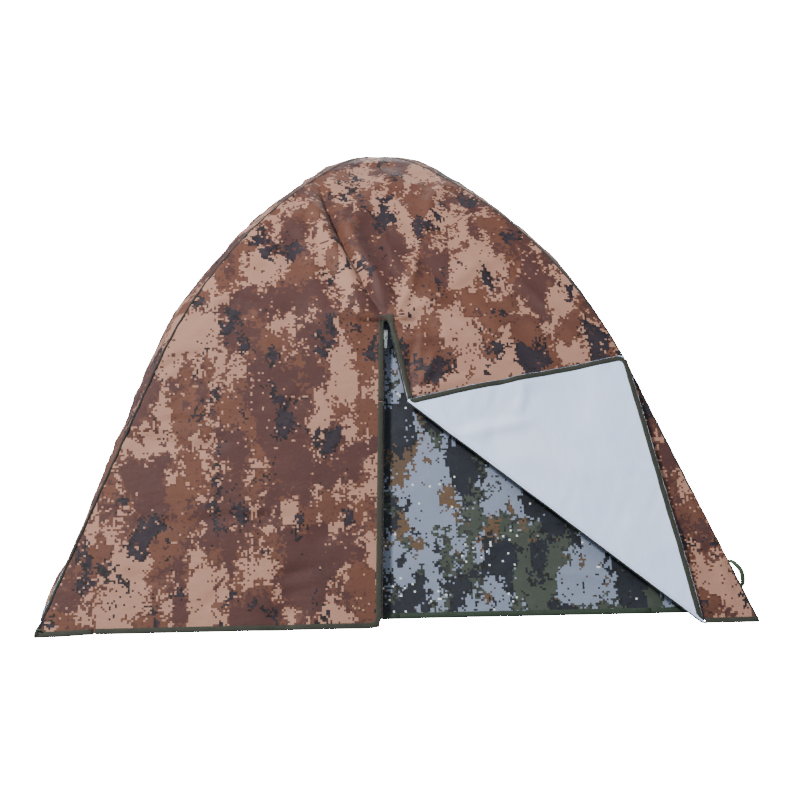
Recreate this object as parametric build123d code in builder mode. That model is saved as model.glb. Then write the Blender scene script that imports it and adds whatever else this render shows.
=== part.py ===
from build123d import *
import os
from math import acos, atan, atan2, cos, degrees, hypot, radians, sin, sqrt, tan

# A two-layer dome hide for a field. Two crossed, shock-corded poles carry a thin
# inner shell in sleeves, and a padded, lined cover hangs over it. The cover's door is
# a zipped slit with a triangular flap on each side: the right one is folded back.
# Millimetres and degrees. +Z is up, the door faces -Y, and the origin is the centre
# of the square base on the ground.

# ---- dome ----
half_base = 1000.0         # half the side of the square base, at the cover's outer face
height = 1350.0            # ground to apex
lean = 23.9                # the flat lower part of each wall, from the vertical
flat_height = 700.0        # each wall is flat up to here
apex_radius = 278.1        # of each wall's upper bend

# ---- cover ----
face_thickness = 5.0       # camouflage cloth with its wadding
lining_thickness = 1.0
binding_width = 15.0
binding_proud = 0.6        # how far a binding stands out of each side of the cover
piping_radius = 3.4
seam_half_gap = piping_radius + 0.6    # from a corner's middle plane to each wall's edge
piping_apex_gap = 16.0     # the pipings end this far short of the apex
split_half_width = 16.0    # the cover is split at each corner's foot
split_height = 210.0

# ---- door of the cover, as (across, up the slope) on the front wall ----
slit_top = 914.0
slit_left = -27.0          # the slit's two edges at its top
slit_right = -13.0
fold_height = 665.0        # where each flap's fold starts
fold_left = -37.4
fold_right = 35.0
fold_foot = 846.0          # half the distance between the folds' feet
left_corner = -65.0        # free corner of the left flap
flap_lift = 7.0            # flaps end this far up the slope
flap_corner_radius = 30.0
fold_gap = 0.6             # from the fold line to each cut edge
fold_proud = binding_proud + 0.7       # the hinge line lies this far outside the cover

# ---- zip ----
chain_width = 4.0
chain_thickness = 3.0
chain_edge = 0.3           # from the binding's edge
slider_rest = 866.0        # up the slope
slider_length = 26.0
slider_width = 11.4
slider_plate = 1.8
slider_clearance = 0.5
slider_side = 0.1          # from the chain's edge to the slider's
post_width = 2.0
bridge_width, bridge_length, bridge_height = 3.0, 14.0, 4.6
tunnel_length, tunnel_height = 8.0, 3.2
stop_gap, stop_length = 0.75, 4.5
pull_bar_radius = 1.0
pull_length = 38.0
pull_width = 7.4
pull_thickness = 1.8
pull_along = -2.0          # its bar, from the slider's middle
pull_rim = 1.6
pull_window_end = 10.0
pull_hole_radius, pull_hole_end = 1.5, 6.0

# ---- inner shell ----
shell_thickness = 1.5
shell_lift = 20.0
shell_hem = 16.0
door_edge = -10.0          # the inner door's free edge
door_inset = 63.0          # its fold, inside the cover's fold

# ---- poles ----
pole_radius = 4.25
pole_bore = 2.2
cord_radius = 1.5
pole_gap = 1.0             # between the poles where they cross, a above b
sections = 5
ferrule_clearance = 0.05
ferrule_wall = 1.1
ferrule_length = 70.0
tip_length = 34.0
tip_wall = 1.25            # how much thicker than the pole a tip is
tip_pin_radius = 3.0
tip_pin_length = 14.0
tip_ground_gap = 4.0
sleeve_wall = 1.0
sleeve_ease = 1.1          # between a ferrule and the sleeve
sleeve_gap = 1.5           # between the cover and pole a's sleeves
shell_gap = 2.0            # between pole b's sleeves and the shell
sleeve_foot = 0.05         # start and end of a sleeve, as shares of half a pole
sleeve_head = 0.90

# ---- webbing ----
webbing_thickness = 2.5
webbing_width = 25.0
loop_height = 108.0
loop_reach = 50.0
loop_middle = 112.0        # height of a corner loop's middle
tab_length = 42.0
tab_width = 14.0
tab_lift = 1.0             # of a seam tab, off the cover
high_tab_slope, high_tab_back = 46.0, 30.0
low_tab_up, low_tab_back = 570.0, 60.0
loop_ease = 0.5
eyelet_radius = 9.0
eyelet_ease = 0.4          # round a tip's pin
eyelet_edge = 0.1          # between an eyelet and its tab
tie_gap, tie_wall, tie_width = 0.8, 1.6, 12.0

os.makedirs("parts", exist_ok=True)

cover_thickness = face_thickness + lining_thickness
steep = 90.0 - lean
diagonal = sqrt(2.0)
past = 2 * half_base       # outside everything, for cutting
margin = 1.0               # how far a cutter passes what it cuts
ferrule_radius = pole_radius + ferrule_clearance + ferrule_wall
sleeve_radius = ferrule_radius + sleeve_ease + sleeve_wall
pole_a_inset = cover_thickness + sleeve_gap + sleeve_radius
pole_insets = {"a": pole_a_inset, "b": pole_a_inset + 2 * pole_radius + pole_gap}
shell_inset = pole_insets["b"] + sleeve_radius + shell_gap


# ---- curves ----
def bend_slope(run, rise, start, radius):
    """The slope where two tangent bends meet that span a run and a rise and end level,
    the upper one with a given radius."""
    start = radians(start)
    across, upward = run - radius * sin(start), rise - radius * (1 - cos(start))
    whole = (rise - radius) * sin(start) + run * cos(start)
    return degrees(atan2(upward, across) - acos(whole / hypot(across, upward)))


def bend_radii(run, rise, start, middle, end):
    """Radii of two tangent bends that span a run and a rise between three slopes."""
    start, middle, end = radians(start), radians(middle), radians(end)
    run_1, run_2 = sin(start) - sin(middle), sin(middle) - sin(end)
    rise_1, rise_2 = cos(middle) - cos(start), cos(end) - cos(middle)
    whole = run_1 * rise_2 - run_2 * rise_1
    return (run * rise_2 - rise * run_2) / whole, (rise * run_1 - run * rise_1) / whole


flat_out = half_base - flat_height * tan(radians(lean))
shoulder = bend_slope(flat_out, height - flat_height, steep, apex_radius)
lower_radius, upper_radius = bend_radii(flat_out, height - flat_height, steep, shoulder, 0)


def wall_point(slope, inset=0.0):
    """(outward, up) where the wall's curve has a slope, inset from the outer face."""
    angle = radians(slope)
    if slope >= shoulder:
        out = flat_out - lower_radius * (sin(radians(steep)) - sin(angle))
        up = flat_height + lower_radius * (cos(angle) - cos(radians(steep)))
    else:
        out = upper_radius * sin(angle)
        up = height - upper_radius * (1 - cos(angle))
    return out - inset * sin(angle), up - inset * cos(angle)


def wall_foot(up, inset=0.0):
    """(outward, up) on the flat part of the wall at a height."""
    out, top = wall_point(steep, inset)
    return out + (top - up) * tan(radians(lean)), up


def wall_curve(inset, foot):
    """The wall's curve, from its foot to the apex."""
    middle = (steep + shoulder) / 2
    Line(wall_foot(foot, inset), wall_point(steep, inset))
    ThreePointArc(wall_point(steep, inset), wall_point(middle, inset), wall_point(shoulder, inset))
    ThreePointArc(wall_point(shoulder, inset), wall_point(shoulder / 2, inset), wall_point(0, inset))


def corner_path(heading, inset, foot):
    """A smooth line up a corner of the dome, over the apex and down the opposite corner."""
    across = Vector(1, 0, 0).rotate(Axis.Z, heading)
    corner_plane = Plane((0, 0, 0), x_dir=across, z_dir=across.cross(Vector(0, 0, 1)))
    slopes = [steep, (steep + shoulder) / 2, shoulder, shoulder / 2, 0]
    leaning = [degrees(atan(tan(radians(slope)) / diagonal)) for slope in slopes]
    first, second, third = (wall_point(slope, inset) for slope in (steep, shoulder, 0))
    low = bend_radii(diagonal * (first[0] - second[0]), second[1] - first[1], *leaning[0:3])
    high = bend_radii(diagonal * second[0], third[1] - second[1], *leaning[2:5])
    out, up = wall_foot(foot, inset)
    with BuildLine(corner_plane) as path:
        Line((diagonal * out, up), (diagonal * first[0], first[1]))
        point = (diagonal * first[0], first[1])
        for radius, slope, next_slope in zip((*low, *high), leaning, leaning[1:]):
            arc = JernArc(point, (-cos(radians(slope)), sin(radians(slope))), radius, slope - next_slope)
            point = corner_plane.to_local_coords(arc @ 1)
            point = (point.X, point.Y)
        mirror(about=Plane((0, 0, 0), z_dir=across))
    return Wire(path.wires()[0].edges())


# ---- frames of the front wall; the zip's follows the wall's bend up to the slider ----
lean_angle = radians(lean)
front_plane = Plane((0, -half_base, 0), x_dir=(1, 0, 0), z_dir=(0, -cos(lean_angle), sin(lean_angle)))
bent_run = slider_rest - flat_height / cos(lean_angle)
chain_sink = lower_radius - sqrt(lower_radius ** 2 - bent_run ** 2)
zip_lean = lean_angle + atan(chain_sink / slider_rest)
zip_plane = Plane(front_plane.from_local_coords((0, 0, -cover_thickness / 2)), x_dir=(1, 0, 0),
                  z_dir=(0, -cos(zip_lean), sin(zip_lean)))


def side_points(side):
    """Fold top, fold foot, free corner and slit end of the flap on one side (-1 or 1)."""
    if side < 0:
        return (fold_left, fold_height), (-fold_foot, 0), (left_corner, flap_lift), (slit_left, slit_top)
    return (fold_right, fold_height), (fold_foot, 0), (fold_right, flap_lift), (slit_right, slit_top)


def along(start, end, up):
    """The point at a height up the slope on the line through two points."""
    share = (up - start[1]) / (end[1] - start[1])
    return start[0] + share * (end[0] - start[0]), up


def crossing(start, end, across):
    """The point at a distance across on the line through two points."""
    share = (across - start[0]) / (end[0] - start[0])
    return across, start[1] + share * (end[1] - start[1])


def meeting(a, b, c, d):
    """The point where the line a-b meets the line c-d."""
    run_1, rise_1, run_2, rise_2 = b[0] - a[0], b[1] - a[1], d[0] - c[0], d[1] - c[1]
    share = ((c[0] - a[0]) * rise_2 - (c[1] - a[1]) * run_2) / (run_1 * rise_2 - rise_1 * run_2)
    return a[0] + share * run_1, a[1] + share * rise_1


def moved_line(start, end, distance):
    """A line moved square to itself, upward for a positive distance."""
    run, rise = end[0] - start[0], end[1] - start[1]
    length = hypot(run, rise)
    step = (-rise / length * distance, run / length * distance)
    if step[1] * distance < 0:
        step = (-step[0], -step[1])
    return (start[0] + step[0], start[1] + step[1]), (end[0] + step[0], end[1] + step[1])


# ---- walls ----
def wall(heading, outer, inner, foot, top=None, split=True):
    """One wall of the dome between two insets, cut along the corners' middle planes."""
    outward = Vector(1, 0, 0).rotate(Axis.Z, heading)
    with BuildPart() as piece:
        with BuildSketch(Plane((0, 0, 0), x_dir=outward, z_dir=outward.cross(Vector(0, 0, 1)))):
            with BuildLine():
                if top is None:
                    wall_curve(outer, foot)
                    Line(wall_point(0, outer), wall_point(0, inner))
                    wall_curve(inner, foot)
                    Line(wall_foot(foot, outer), wall_foot(foot, inner))
                else:
                    Polyline(wall_foot(foot, outer), wall_foot(top, outer), wall_foot(top, inner),
                             wall_foot(foot, inner), close=True)
            make_face()
        extrude(amount=past, both=True)
        tip = seam_half_gap * diagonal
        with BuildSketch(Plane((0, 0, -margin), x_dir=outward)):
            Polygon((tip, 0), (past, tip - past), (past, past - tip), align=None)
        extrude(amount=height + 2 * margin, mode=Mode.INTERSECT)
        if split:
            for turn in (-45, 45):
                with BuildSketch(Plane((0, 0, -margin), x_dir=outward.rotate(Axis.Z, turn))):
                    with Locations((diagonal * half_base, 0)):
                        Rectangle(half_base, 2 * split_half_width)
                extrude(amount=split_height + margin, mode=Mode.SUBTRACT)
    return piece.part


def save(shape, name):
    shape.label = name
    export_step(shape, f"parts/{name}.step")


def group(shapes, name):
    save(Compound(children=shapes), name)


def cut_wall(band, outline):
    """The part of the front wall inside an outline given as (across, up the slope)."""
    with BuildPart() as piece:
        add(band)
        with BuildSketch(front_plane):
            Polygon(*outline, align=None)
        extrude(amount=past, both=True, mode=Mode.INTERSECT)
    return piece.part


binding_outer, binding_inner = -binding_proud, cover_thickness + binding_proud
hem_up = binding_width
shell_inner = shell_inset + shell_thickness
shell_top_of_hem = shell_lift + shell_hem

# ---- side and rear walls ----
hems, shell_hems = [], []
for name, heading in {"left": 180, "right": 0, "rear": 90}.items():
    save(wall(heading, 0, face_thickness, hem_up), f"cover_{name}_wall")
    save(wall(heading, face_thickness, cover_thickness, hem_up), f"lining_{name}_wall")
    save(wall(heading, shell_inset, shell_inner, shell_top_of_hem, split=False), f"shell_{name}_wall")
    hems.append(wall(heading, binding_outer, binding_inner, 0, hem_up))
    shell_hems.append(wall(heading, shell_inset, shell_inner, shell_lift, shell_top_of_hem, split=False))

# ---- the cover's front, above the folds ----
front_face = wall(-90, 0, face_thickness, hem_up)
front_lining = wall(-90, face_thickness, cover_thickness, hem_up)
front_binding = wall(-90, binding_outer, binding_inner, hem_up)
front_hem = wall(-90, binding_outer, binding_inner, 0, hem_up)
slit_middle = (slit_left + slit_right) / 2
binding_top = slit_top + binding_width
linings = []
for side, name in ((-1, "left"), (1, "right")):
    fold_top, foot, _, slit_end = side_points(side)
    fold_top, foot = moved_line(fold_top, foot, fold_gap)
    binding_head = (slit_end[0] + side * binding_width, binding_top)
    binding_foot = crossing(fold_top, foot, fold_top[0] + side * binding_width)
    panel = [(slit_middle, past), (slit_middle, binding_top), binding_head, binding_foot, foot,
             (foot[0], -past), (side * past, -past), (side * past, past)]
    strip = [(slit_middle, binding_top), binding_head, binding_foot, fold_top, slit_end,
             (slit_middle, slit_top)]
    save(cut_wall(front_face, panel), f"cover_front_{name}")
    save(cut_wall(front_binding, strip), f"slit_binding_{name}")
    linings.append(cut_wall(front_lining, panel))
    hems.append(cut_wall(front_hem, [(foot[0], -past), (side * past, -past), (side * past, past),
                                     (foot[0], past)]))
group(linings, "lining_front")
group(hems, "cover_hem")


# ---- flaps, drawn closed ----
def flap_outline(side, trim):
    """A flap's outline, trimmed along its two free edges, its free corner last."""
    fold_top, foot, corner, slit_end = side_points(side)
    edge_top = slit_end if side < 0 else (corner[0], slit_top)
    fold_top, foot = moved_line(fold_top, foot, -fold_gap)
    low = (corner[0] + side * trim, corner[1])
    high = (edge_top[0] + side * trim, edge_top[1])
    bottom = corner[1] + trim
    return [meeting(fold_top, foot, low, high), along(fold_top, foot, bottom), along(low, high, bottom)]


def flap_layer(side, near, far, trim=0.0):
    """One layer of a flap between two depths, with its free corner rounded."""
    outline = flap_outline(side, trim)
    with BuildPart() as layer:
        with BuildSketch(front_plane.offset(-near)) as flat:
            Polygon(*outline, align=None)
            fillet(flat.vertices().sort_by_distance(Vector(*outline[2], 0))[0], flap_corner_radius - trim)
        extrude(amount=near - far)
    return layer.part


def chain(edge_low, edge_high, side, start, end):
    """One side of the zip, beside an edge from one height up the slope to another."""
    near, far = side * -chain_edge, side * -(chain_edge + chain_width)
    low, high = along(edge_low, edge_high, start), along(edge_low, edge_high, end)
    with BuildPart() as piece:
        with BuildSketch(zip_plane):
            Polygon((low[0] + near, start), (low[0] + far, start), (high[0] + far, end),
                    (high[0] + near, end), align=None)
        extrude(amount=chain_thickness / 2, both=True)
    return piece.part


def fold_axis(side):
    """The hinge line of a flap, just outside the cover."""
    fold_top, foot = side_points(side)[:2]
    start = front_plane.from_local_coords((*fold_top, fold_proud))
    end = front_plane.from_local_coords((*foot, fold_proud))
    return Axis(start, end - start)


chain_foot = flap_lift + 2 * binding_width
upper_chains = []
chain_end = slider_rest + slider_length / 2
for side, name, fold_turn in ((-1, "left", 0), (1, "right", 180)):
    fold_top, _, corner, slit_end = side_points(side)
    face = flap_layer(side, 0, face_thickness, binding_width)
    lining = flap_layer(side, face_thickness, cover_thickness, binding_width)
    core = flap_layer(side, binding_outer - margin, binding_inner + margin, binding_width)
    with BuildPart() as binding:
        add(flap_layer(side, binding_outer, binding_inner))
        add(core, mode=Mode.SUBTRACT)
    flap_chain = chain(corner, slit_end if side < 0 else (corner[0], slit_top), side, chain_foot,
                       fold_height - binding_width)
    hinge = fold_axis(side)
    for piece, kind in ((face, "face"), (lining, "lining"), (binding.part, "binding"),
                        (flap_chain, "zip_chain")):
        save(piece.rotate(hinge, fold_turn), f"{name}_flap_{kind}")
    upper_chains.append(chain(fold_top, slit_end, side, fold_height + binding_width / 2, chain_end))
group(upper_chains, "zip_chain_upper")

# ---- zip slider, its pull and the stop above it ----
edge_low, edge_high = side_points(-1)[2:]
edge_turn = atan2(edge_high[0] - edge_low[0], edge_high[1] - edge_low[1])
slider_across = along(edge_low, edge_high, slider_rest)[0] + chain_edge + chain_width / 2
slider_origin = zip_plane.from_local_coords((slider_across, slider_rest, 0))
slider_x = zip_plane.from_local_coords((slider_across + cos(edge_turn), slider_rest - sin(edge_turn), 0))
slider_plane = Plane(slider_origin, x_dir=slider_x - slider_origin, z_dir=zip_plane.z_dir)
plate_gap = chain_thickness / 2 + slider_clearance
slider_middle = (slider_width - chain_width) / 2 + slider_side
plate_top = plate_gap + slider_plate
pull_up = plate_top + tunnel_height / 2

with BuildPart() as slider:
    for level, amount in ((plate_gap, slider_plate), (-plate_gap, -slider_plate)):
        with BuildSketch(slider_plane.offset(level)):
            with Locations((slider_middle, 0)):
                RectangleRounded(slider_width, slider_length, slider_width / 4)
        extrude(amount=amount)
    with BuildSketch(slider_plane.offset(-plate_gap)):
        with Locations((chain_width / 2 + slider_clearance + post_width / 2, slider_length / 4)):
            Rectangle(post_width, slider_length / 3)
    extrude(amount=2 * plate_gap)
    with BuildSketch(slider_plane.offset(plate_top)):
        with Locations((slider_middle, 0)):
            Rectangle(bridge_width, bridge_length)
    extrude(amount=bridge_height)
    with BuildSketch(slider_plane.offset(plate_top)):
        with Locations((slider_middle, pull_along)):
            Rectangle(2 * bridge_width, tunnel_length)
    extrude(amount=tunnel_height, mode=Mode.SUBTRACT)
save(slider.part, "zip_slider")

pull_plane = Plane(slider_plane.from_local_coords((slider_middle, pull_along, pull_up)),
                   x_dir=slider_plane.x_dir, z_dir=slider_plane.z_dir)
with BuildPart() as pull:
    with BuildSketch(pull_plane.offset(-pull_thickness / 2)):
        with Locations((0, -pull_length / 2)):
            RectangleRounded(pull_width, pull_length, pull_width / 4)
        with Locations((0, 0)):
            Rectangle(pull_width - 2 * pull_rim, 2 * pull_window_end, mode=Mode.SUBTRACT)
        with Locations((0, pull_hole_end - pull_length)):
            Circle(pull_hole_radius, mode=Mode.SUBTRACT)
    extrude(amount=pull_thickness)
    with BuildSketch(Plane(pull_plane.origin, x_dir=pull_plane.y_dir, z_dir=pull_plane.x_dir)):
        Circle(pull_bar_radius)
    extrude(amount=pull_width / 2, both=True)
save(pull.part, "zip_pull")

with BuildPart() as stop:
    with BuildSketch(slider_plane.offset(-plate_gap)):
        with Locations((slider_middle, slider_length / 2 + stop_gap + stop_length / 2)):
            Rectangle(slider_width, stop_length)
    extrude(amount=2 * plate_gap)
save(stop.part, "zip_top_stop")

# ---- the inner shell's front and its door ----
front_shell = wall(-90, shell_inset, shell_inner, shell_top_of_hem, split=False)
front_shell_hem = wall(-90, shell_inset, shell_inner, shell_lift, shell_top_of_hem, split=False)
door_fold = moved_line((fold_right, fold_height), (fold_foot, 0), -door_inset)
above_fold = moved_line(*door_fold, fold_gap)
left_part = [(door_edge - fold_gap, past), (door_edge - fold_gap, -past), (-past, -past), (-past, past)]
right_part = [(door_edge + fold_gap, past), crossing(*above_fold, door_edge + fold_gap),
              along(*above_fold, -past), (past, past)]
save(cut_wall(front_shell, left_part), "shell_front_left")
save(cut_wall(front_shell, right_part), "shell_front_right")
group(shell_hems + [cut_wall(front_shell_hem, left_part), cut_wall(front_shell_hem, right_part)],
      "shell_hem")

door_bottom = (shell_lift + shell_inner * sin(lean_angle)) / cos(lean_angle)
below_fold = moved_line(*door_fold, -fold_gap)


def door_piece(bottom, top, name):
    """The inner door between two heights up the slope."""
    with BuildPart() as piece:
        with BuildSketch(front_plane.offset(-shell_inset)):
            Polygon(crossing(*below_fold, door_edge + fold_gap), along(*below_fold, bottom),
                    (door_edge + fold_gap, bottom), align=None)
            with Locations((0, (bottom + top) / 2)):
                Rectangle(past, top - bottom, mode=Mode.INTERSECT)
        extrude(amount=-shell_thickness)
    save(piece.part, name)


door_piece(door_bottom, door_bottom + shell_hem, "shell_door_hem")
door_piece(door_bottom + shell_hem, slit_top, "shell_door")


# ---- poles, sleeves and piping ----
def tube(path, start, end, radius, bore=0.0):
    """A round tube along part of a path, between two lengths from its start."""
    run = path.trim(start / path.length, end / path.length)
    with BuildPart() as piece:
        with BuildSketch(Plane(run @ 0, z_dir=run % 0)):
            Circle(radius)
            if bore:
                Circle(bore, mode=Mode.SUBTRACT)
        sweep(path=run)
    return piece.part


corners = {"a": ("rear_right", "front_left"), "b": ("rear_left", "front_right")}
headings = {"a": 45, "b": 135}
cords, tips, eyelets, anchor_tabs, pipings = [], [], [], [], []
for pole, inset in pole_insets.items():
    path = corner_path(headings[pole], inset, tip_ground_gap)
    length = path.length
    pole_start, pole_end = tip_length, length - tip_length
    section_length = (pole_end - pole_start) / sections
    joints = [pole_start + section_length * count for count in range(sections + 1)]
    for count in range(sections):
        save(tube(path, joints[count], joints[count + 1], pole_radius, pole_bore),
             f"pole_{pole}_section_{count + 1}")
    half = ferrule_length / 2
    group([tube(path, joint - half, joint + half, ferrule_radius, pole_radius + ferrule_clearance)
           for joint in joints[1:-1]], f"pole_{pole}_ferrules")
    cords.append(tube(path, pole_start, pole_end, cord_radius))
    start, end = length * sleeve_foot / 2, length * sleeve_head / 2
    bore = sleeve_radius - sleeve_wall
    save(tube(path, start, end, sleeve_radius, bore), f"sleeve_{corners[pole][0]}")
    save(tube(path, length - end, length - start, sleeve_radius, bore), f"sleeve_{corners[pole][1]}")
    for foot_point, upward in ((path @ 0, path % 0), (path @ 1, path % 1 * -1)):
        foot_plane = Plane(foot_point, x_dir=Vector(foot_point.X, foot_point.Y, 0), z_dir=upward)
        with BuildPart() as foot_tip:
            with BuildSketch(foot_plane):
                Circle(tip_pin_radius)
            extrude(amount=tip_pin_length)
            with BuildSketch(foot_plane.offset(tip_pin_length)):
                Circle(pole_radius + tip_wall)
            extrude(amount=tip_length - tip_pin_length)
        tips.append(foot_tip.part)
        eyelet_plane = foot_plane.offset(tip_pin_length / 2)
        with BuildPart() as eyelet:
            with BuildSketch(eyelet_plane):
                Circle(eyelet_radius)
                Circle(tip_pin_radius + eyelet_ease, mode=Mode.SUBTRACT)
            extrude(amount=webbing_thickness)
        eyelets.append(eyelet.part)
        with BuildPart() as tab:
            with BuildSketch(eyelet_plane):
                with Locations((eyelet_radius / 2, 0)):
                    RectangleRounded(4 * eyelet_radius, 3 * eyelet_radius, eyelet_radius / 2)
                Circle(eyelet_radius + eyelet_edge, mode=Mode.SUBTRACT)
            extrude(amount=webbing_thickness)
        anchor_tabs.append(tab.part)
    piping_path = corner_path(headings[pole], cover_thickness / 2, split_height)
    piping_end = piping_path.length / 2 - piping_apex_gap
    pipings.append(tube(piping_path, 0, piping_end, piping_radius))
    pipings.append(tube(piping_path, piping_path.length - piping_end, piping_path.length, piping_radius))
group(cords, "shock_cords")
group(tips, "pole_tips")
group(eyelets, "foot_eyelets")
group(anchor_tabs, "anchor_tabs")
group(pipings, "corner_piping")

tie_half_run = diagonal * pole_radius + tie_width / 2 + tie_gap
tie_top = height - pole_insets["a"] + pole_radius + tie_gap
tie_bottom = height - pole_insets["b"] - pole_radius - tie_gap
with BuildPart() as apex_tie:
    with BuildSketch(Plane((0, 0, (tie_top + tie_bottom) / 2), x_dir=(1, 0, 0), z_dir=(0, 1, 0))):
        Rectangle(2 * (tie_half_run + tie_wall), tie_top - tie_bottom + 2 * tie_wall)
        Rectangle(2 * tie_half_run, tie_top - tie_bottom, mode=Mode.SUBTRACT)
    extrude(amount=tie_width / 2, both=True)
save(apex_tie.part, "apex_tie")

# ---- webbing loops that come out of the cover's split corners ----
corner_lean = atan(diagonal * tan(lean_angle))
for pole, inset in pole_insets.items():
    for heading, name in zip((headings[pole], headings[pole] + 180), corners[pole]):
        across = Vector(1, 0, 0).rotate(Axis.Z, heading)
        up = Vector(0, 0, 1)
        out, middle = wall_foot(loop_middle, inset)
        loop_plane = Plane(across * diagonal * out + up * middle,
                           x_dir=across * cos(corner_lean) + up * sin(corner_lean), z_dir=across.cross(up))
        near = sleeve_radius + loop_ease
        with BuildPart() as loop:
            with BuildSketch(loop_plane):
                for trim, mode in ((0, Mode.ADD), (webbing_thickness, Mode.SUBTRACT)):
                    top = (near + trim, loop_height / 2 - trim)
                    bottom = (near + trim, trim - loop_height / 2)
                    with BuildLine():
                        Line(bottom, top)
                        ThreePointArc(top, (near + loop_reach - trim, 0), bottom)
                    make_face(mode=mode)
            extrude(amount=webbing_width / 2, both=True)
        save(loop.part, f"corner_loop_{name}")

# ---- small tabs on the front left seam ----
tabs = []
for tab_slope, (out, up), back in (
        (high_tab_slope, wall_point(high_tab_slope, -tab_lift), high_tab_back),
        (steep, wall_foot(low_tab_up, -tab_lift), low_tab_back)):
    slope = radians(tab_slope)
    tab_plane = Plane((-out, -out + back, up), x_dir=(0, 1, 0), z_dir=(-sin(slope), 0, cos(slope)))
    with BuildPart() as seam_tab:
        with BuildSketch(tab_plane):
            RectangleRounded(tab_length, tab_width, tab_width / 4)
        extrude(amount=webbing_thickness)
    tabs.append(seam_tab.part)
group(tabs, "seam_tabs")
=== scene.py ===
from functools import partial
from math import acos, atan2, ceil, cos, exp, hypot, log, pi, radians, sin, tan

import bmesh
import bpy
from mathutils import Matrix, Vector, noise


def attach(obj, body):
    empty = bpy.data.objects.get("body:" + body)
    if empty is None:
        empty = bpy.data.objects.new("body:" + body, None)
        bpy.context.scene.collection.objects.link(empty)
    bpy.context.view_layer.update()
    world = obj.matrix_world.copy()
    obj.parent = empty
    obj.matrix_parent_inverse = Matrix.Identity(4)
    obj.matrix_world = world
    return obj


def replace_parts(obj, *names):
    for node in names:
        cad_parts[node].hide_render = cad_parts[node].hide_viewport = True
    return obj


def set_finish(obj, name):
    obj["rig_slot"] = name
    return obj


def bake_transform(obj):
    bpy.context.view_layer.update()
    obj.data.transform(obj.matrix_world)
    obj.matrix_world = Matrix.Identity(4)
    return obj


# A two-layer dome hide. Lengths are in metres. A place on a wall is given flat, as
# (across, up the slope, outward from the cover's face), and then laid on the wall.

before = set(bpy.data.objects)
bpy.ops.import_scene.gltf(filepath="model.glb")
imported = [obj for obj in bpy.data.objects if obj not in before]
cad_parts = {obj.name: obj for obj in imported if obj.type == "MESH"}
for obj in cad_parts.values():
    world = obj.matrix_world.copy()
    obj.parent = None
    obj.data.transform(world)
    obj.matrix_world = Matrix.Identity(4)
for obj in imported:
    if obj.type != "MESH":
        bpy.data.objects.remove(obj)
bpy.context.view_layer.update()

# ---- the dome ----
HALF_BASE, HEIGHT, FLAT_HEIGHT, APEX_RADIUS = 1.0, 1.35, 0.7, 0.2781
LEAN = radians(23.9)
STEEP = pi / 2 - LEAN
FLAT_OUT = HALF_BASE - FLAT_HEIGHT * tan(LEAN)
COVER, LINING_DEPTH, BINDING, BINDING_WIDTH = 0.006, 0.005, 0.0006, 0.015
SHELL_INSET, SHELL_THICKNESS, SHELL_LIFT, SHELL_HEM = 0.034, 0.0015, 0.020, 0.016
SEAM_GAP = 0.0025
HEADINGS = {"front": -pi / 2, "right": 0.0, "rear": pi / 2, "left": pi}

# ---- the door, flat on the front wall ----
SLIT_TOP, SLIT_LEFT, SLIT_RIGHT = 0.914, -0.027, -0.013
FOLD_TOP, FOLD_LEFT, FOLD_RIGHT, FOLD_FOOT = 0.665, -0.0374, 0.035, 0.846
LEFT_CORNER, FLAP_LIFT, FLAP_ROUND, FOLD_PROUD = -0.065, 0.007, 0.030, 0.0013
DOOR_EDGE, DOOR_INSET = -0.010, 0.063
SPLIT_WIDTH, SPLIT_TOP = 0.036, 0.190
CELL = 0.0055  # one cell of the printed pattern


def bends():
    """The slope where a wall's two bends meet, and the lower bend's radius."""
    rise = HEIGHT - FLAT_HEIGHT
    across = FLAT_OUT - APEX_RADIUS * sin(STEEP)
    upward = rise - APEX_RADIUS * (1 - cos(STEEP))
    whole = (rise - APEX_RADIUS) * sin(STEEP) + FLAT_OUT * cos(STEEP)
    meet = atan2(upward, across) - acos(whole / hypot(across, upward))
    return meet, (FLAT_OUT - APEX_RADIUS * sin(meet)) / (sin(STEEP) - sin(meet))


SHOULDER, BEND_RADIUS = bends()
FLAT_RUN = FLAT_HEIGHT / cos(LEAN)
BEND_RUN = FLAT_RUN + BEND_RADIUS * (STEEP - SHOULDER)
APEX_RUN = BEND_RUN + APEX_RADIUS * SHOULDER


def section(run):
    """(outward, up, slope) on a wall's face at a length up the slope."""
    if run <= FLAT_RUN:
        return HALF_BASE - run * sin(LEAN), run * cos(LEAN), STEEP
    if run <= BEND_RUN:
        slope = STEEP - (run - FLAT_RUN) / BEND_RADIUS
        return (FLAT_OUT - BEND_RADIUS * (sin(STEEP) - sin(slope)),
                FLAT_HEIGHT + BEND_RADIUS * (cos(slope) - cos(STEEP)), slope)
    slope = max(0.0, SHOULDER - (run - BEND_RUN) / APEX_RADIUS)
    return APEX_RADIUS * sin(slope), HEIGHT - APEX_RADIUS * (1 - cos(slope)), slope


def on_wall(wall, across, run, out=0.0):
    """A flat place laid on a wall of the dome."""
    far, up, slope = section(run)
    heading = HEADINGS[wall]
    reach = far + out * sin(slope)
    return Vector((reach * cos(heading) - across * sin(heading),
                   reach * sin(heading) + across * cos(heading), up + out * cos(slope)))


# ---- folds and wrinkles ----
def swell(across, run, seed, size, depth):
    """Soft uneven rises of about a size."""
    return depth * noise.noise(Vector((across / size, run / size, seed)))


def ridges(across, run, seed, turn, long, short, depth):
    """Drawn folds that run one way, much longer than they are wide."""
    along = across * cos(turn) + run * sin(turn)
    side = run * cos(turn) - across * sin(turn)
    spot = Vector((along / long, side / short, seed))
    return depth * (1 - 2 * abs(noise.noise(spot))) * (0.5 + noise.noise(spot * 0.6 + Vector((7, 3, 1))))


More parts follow.
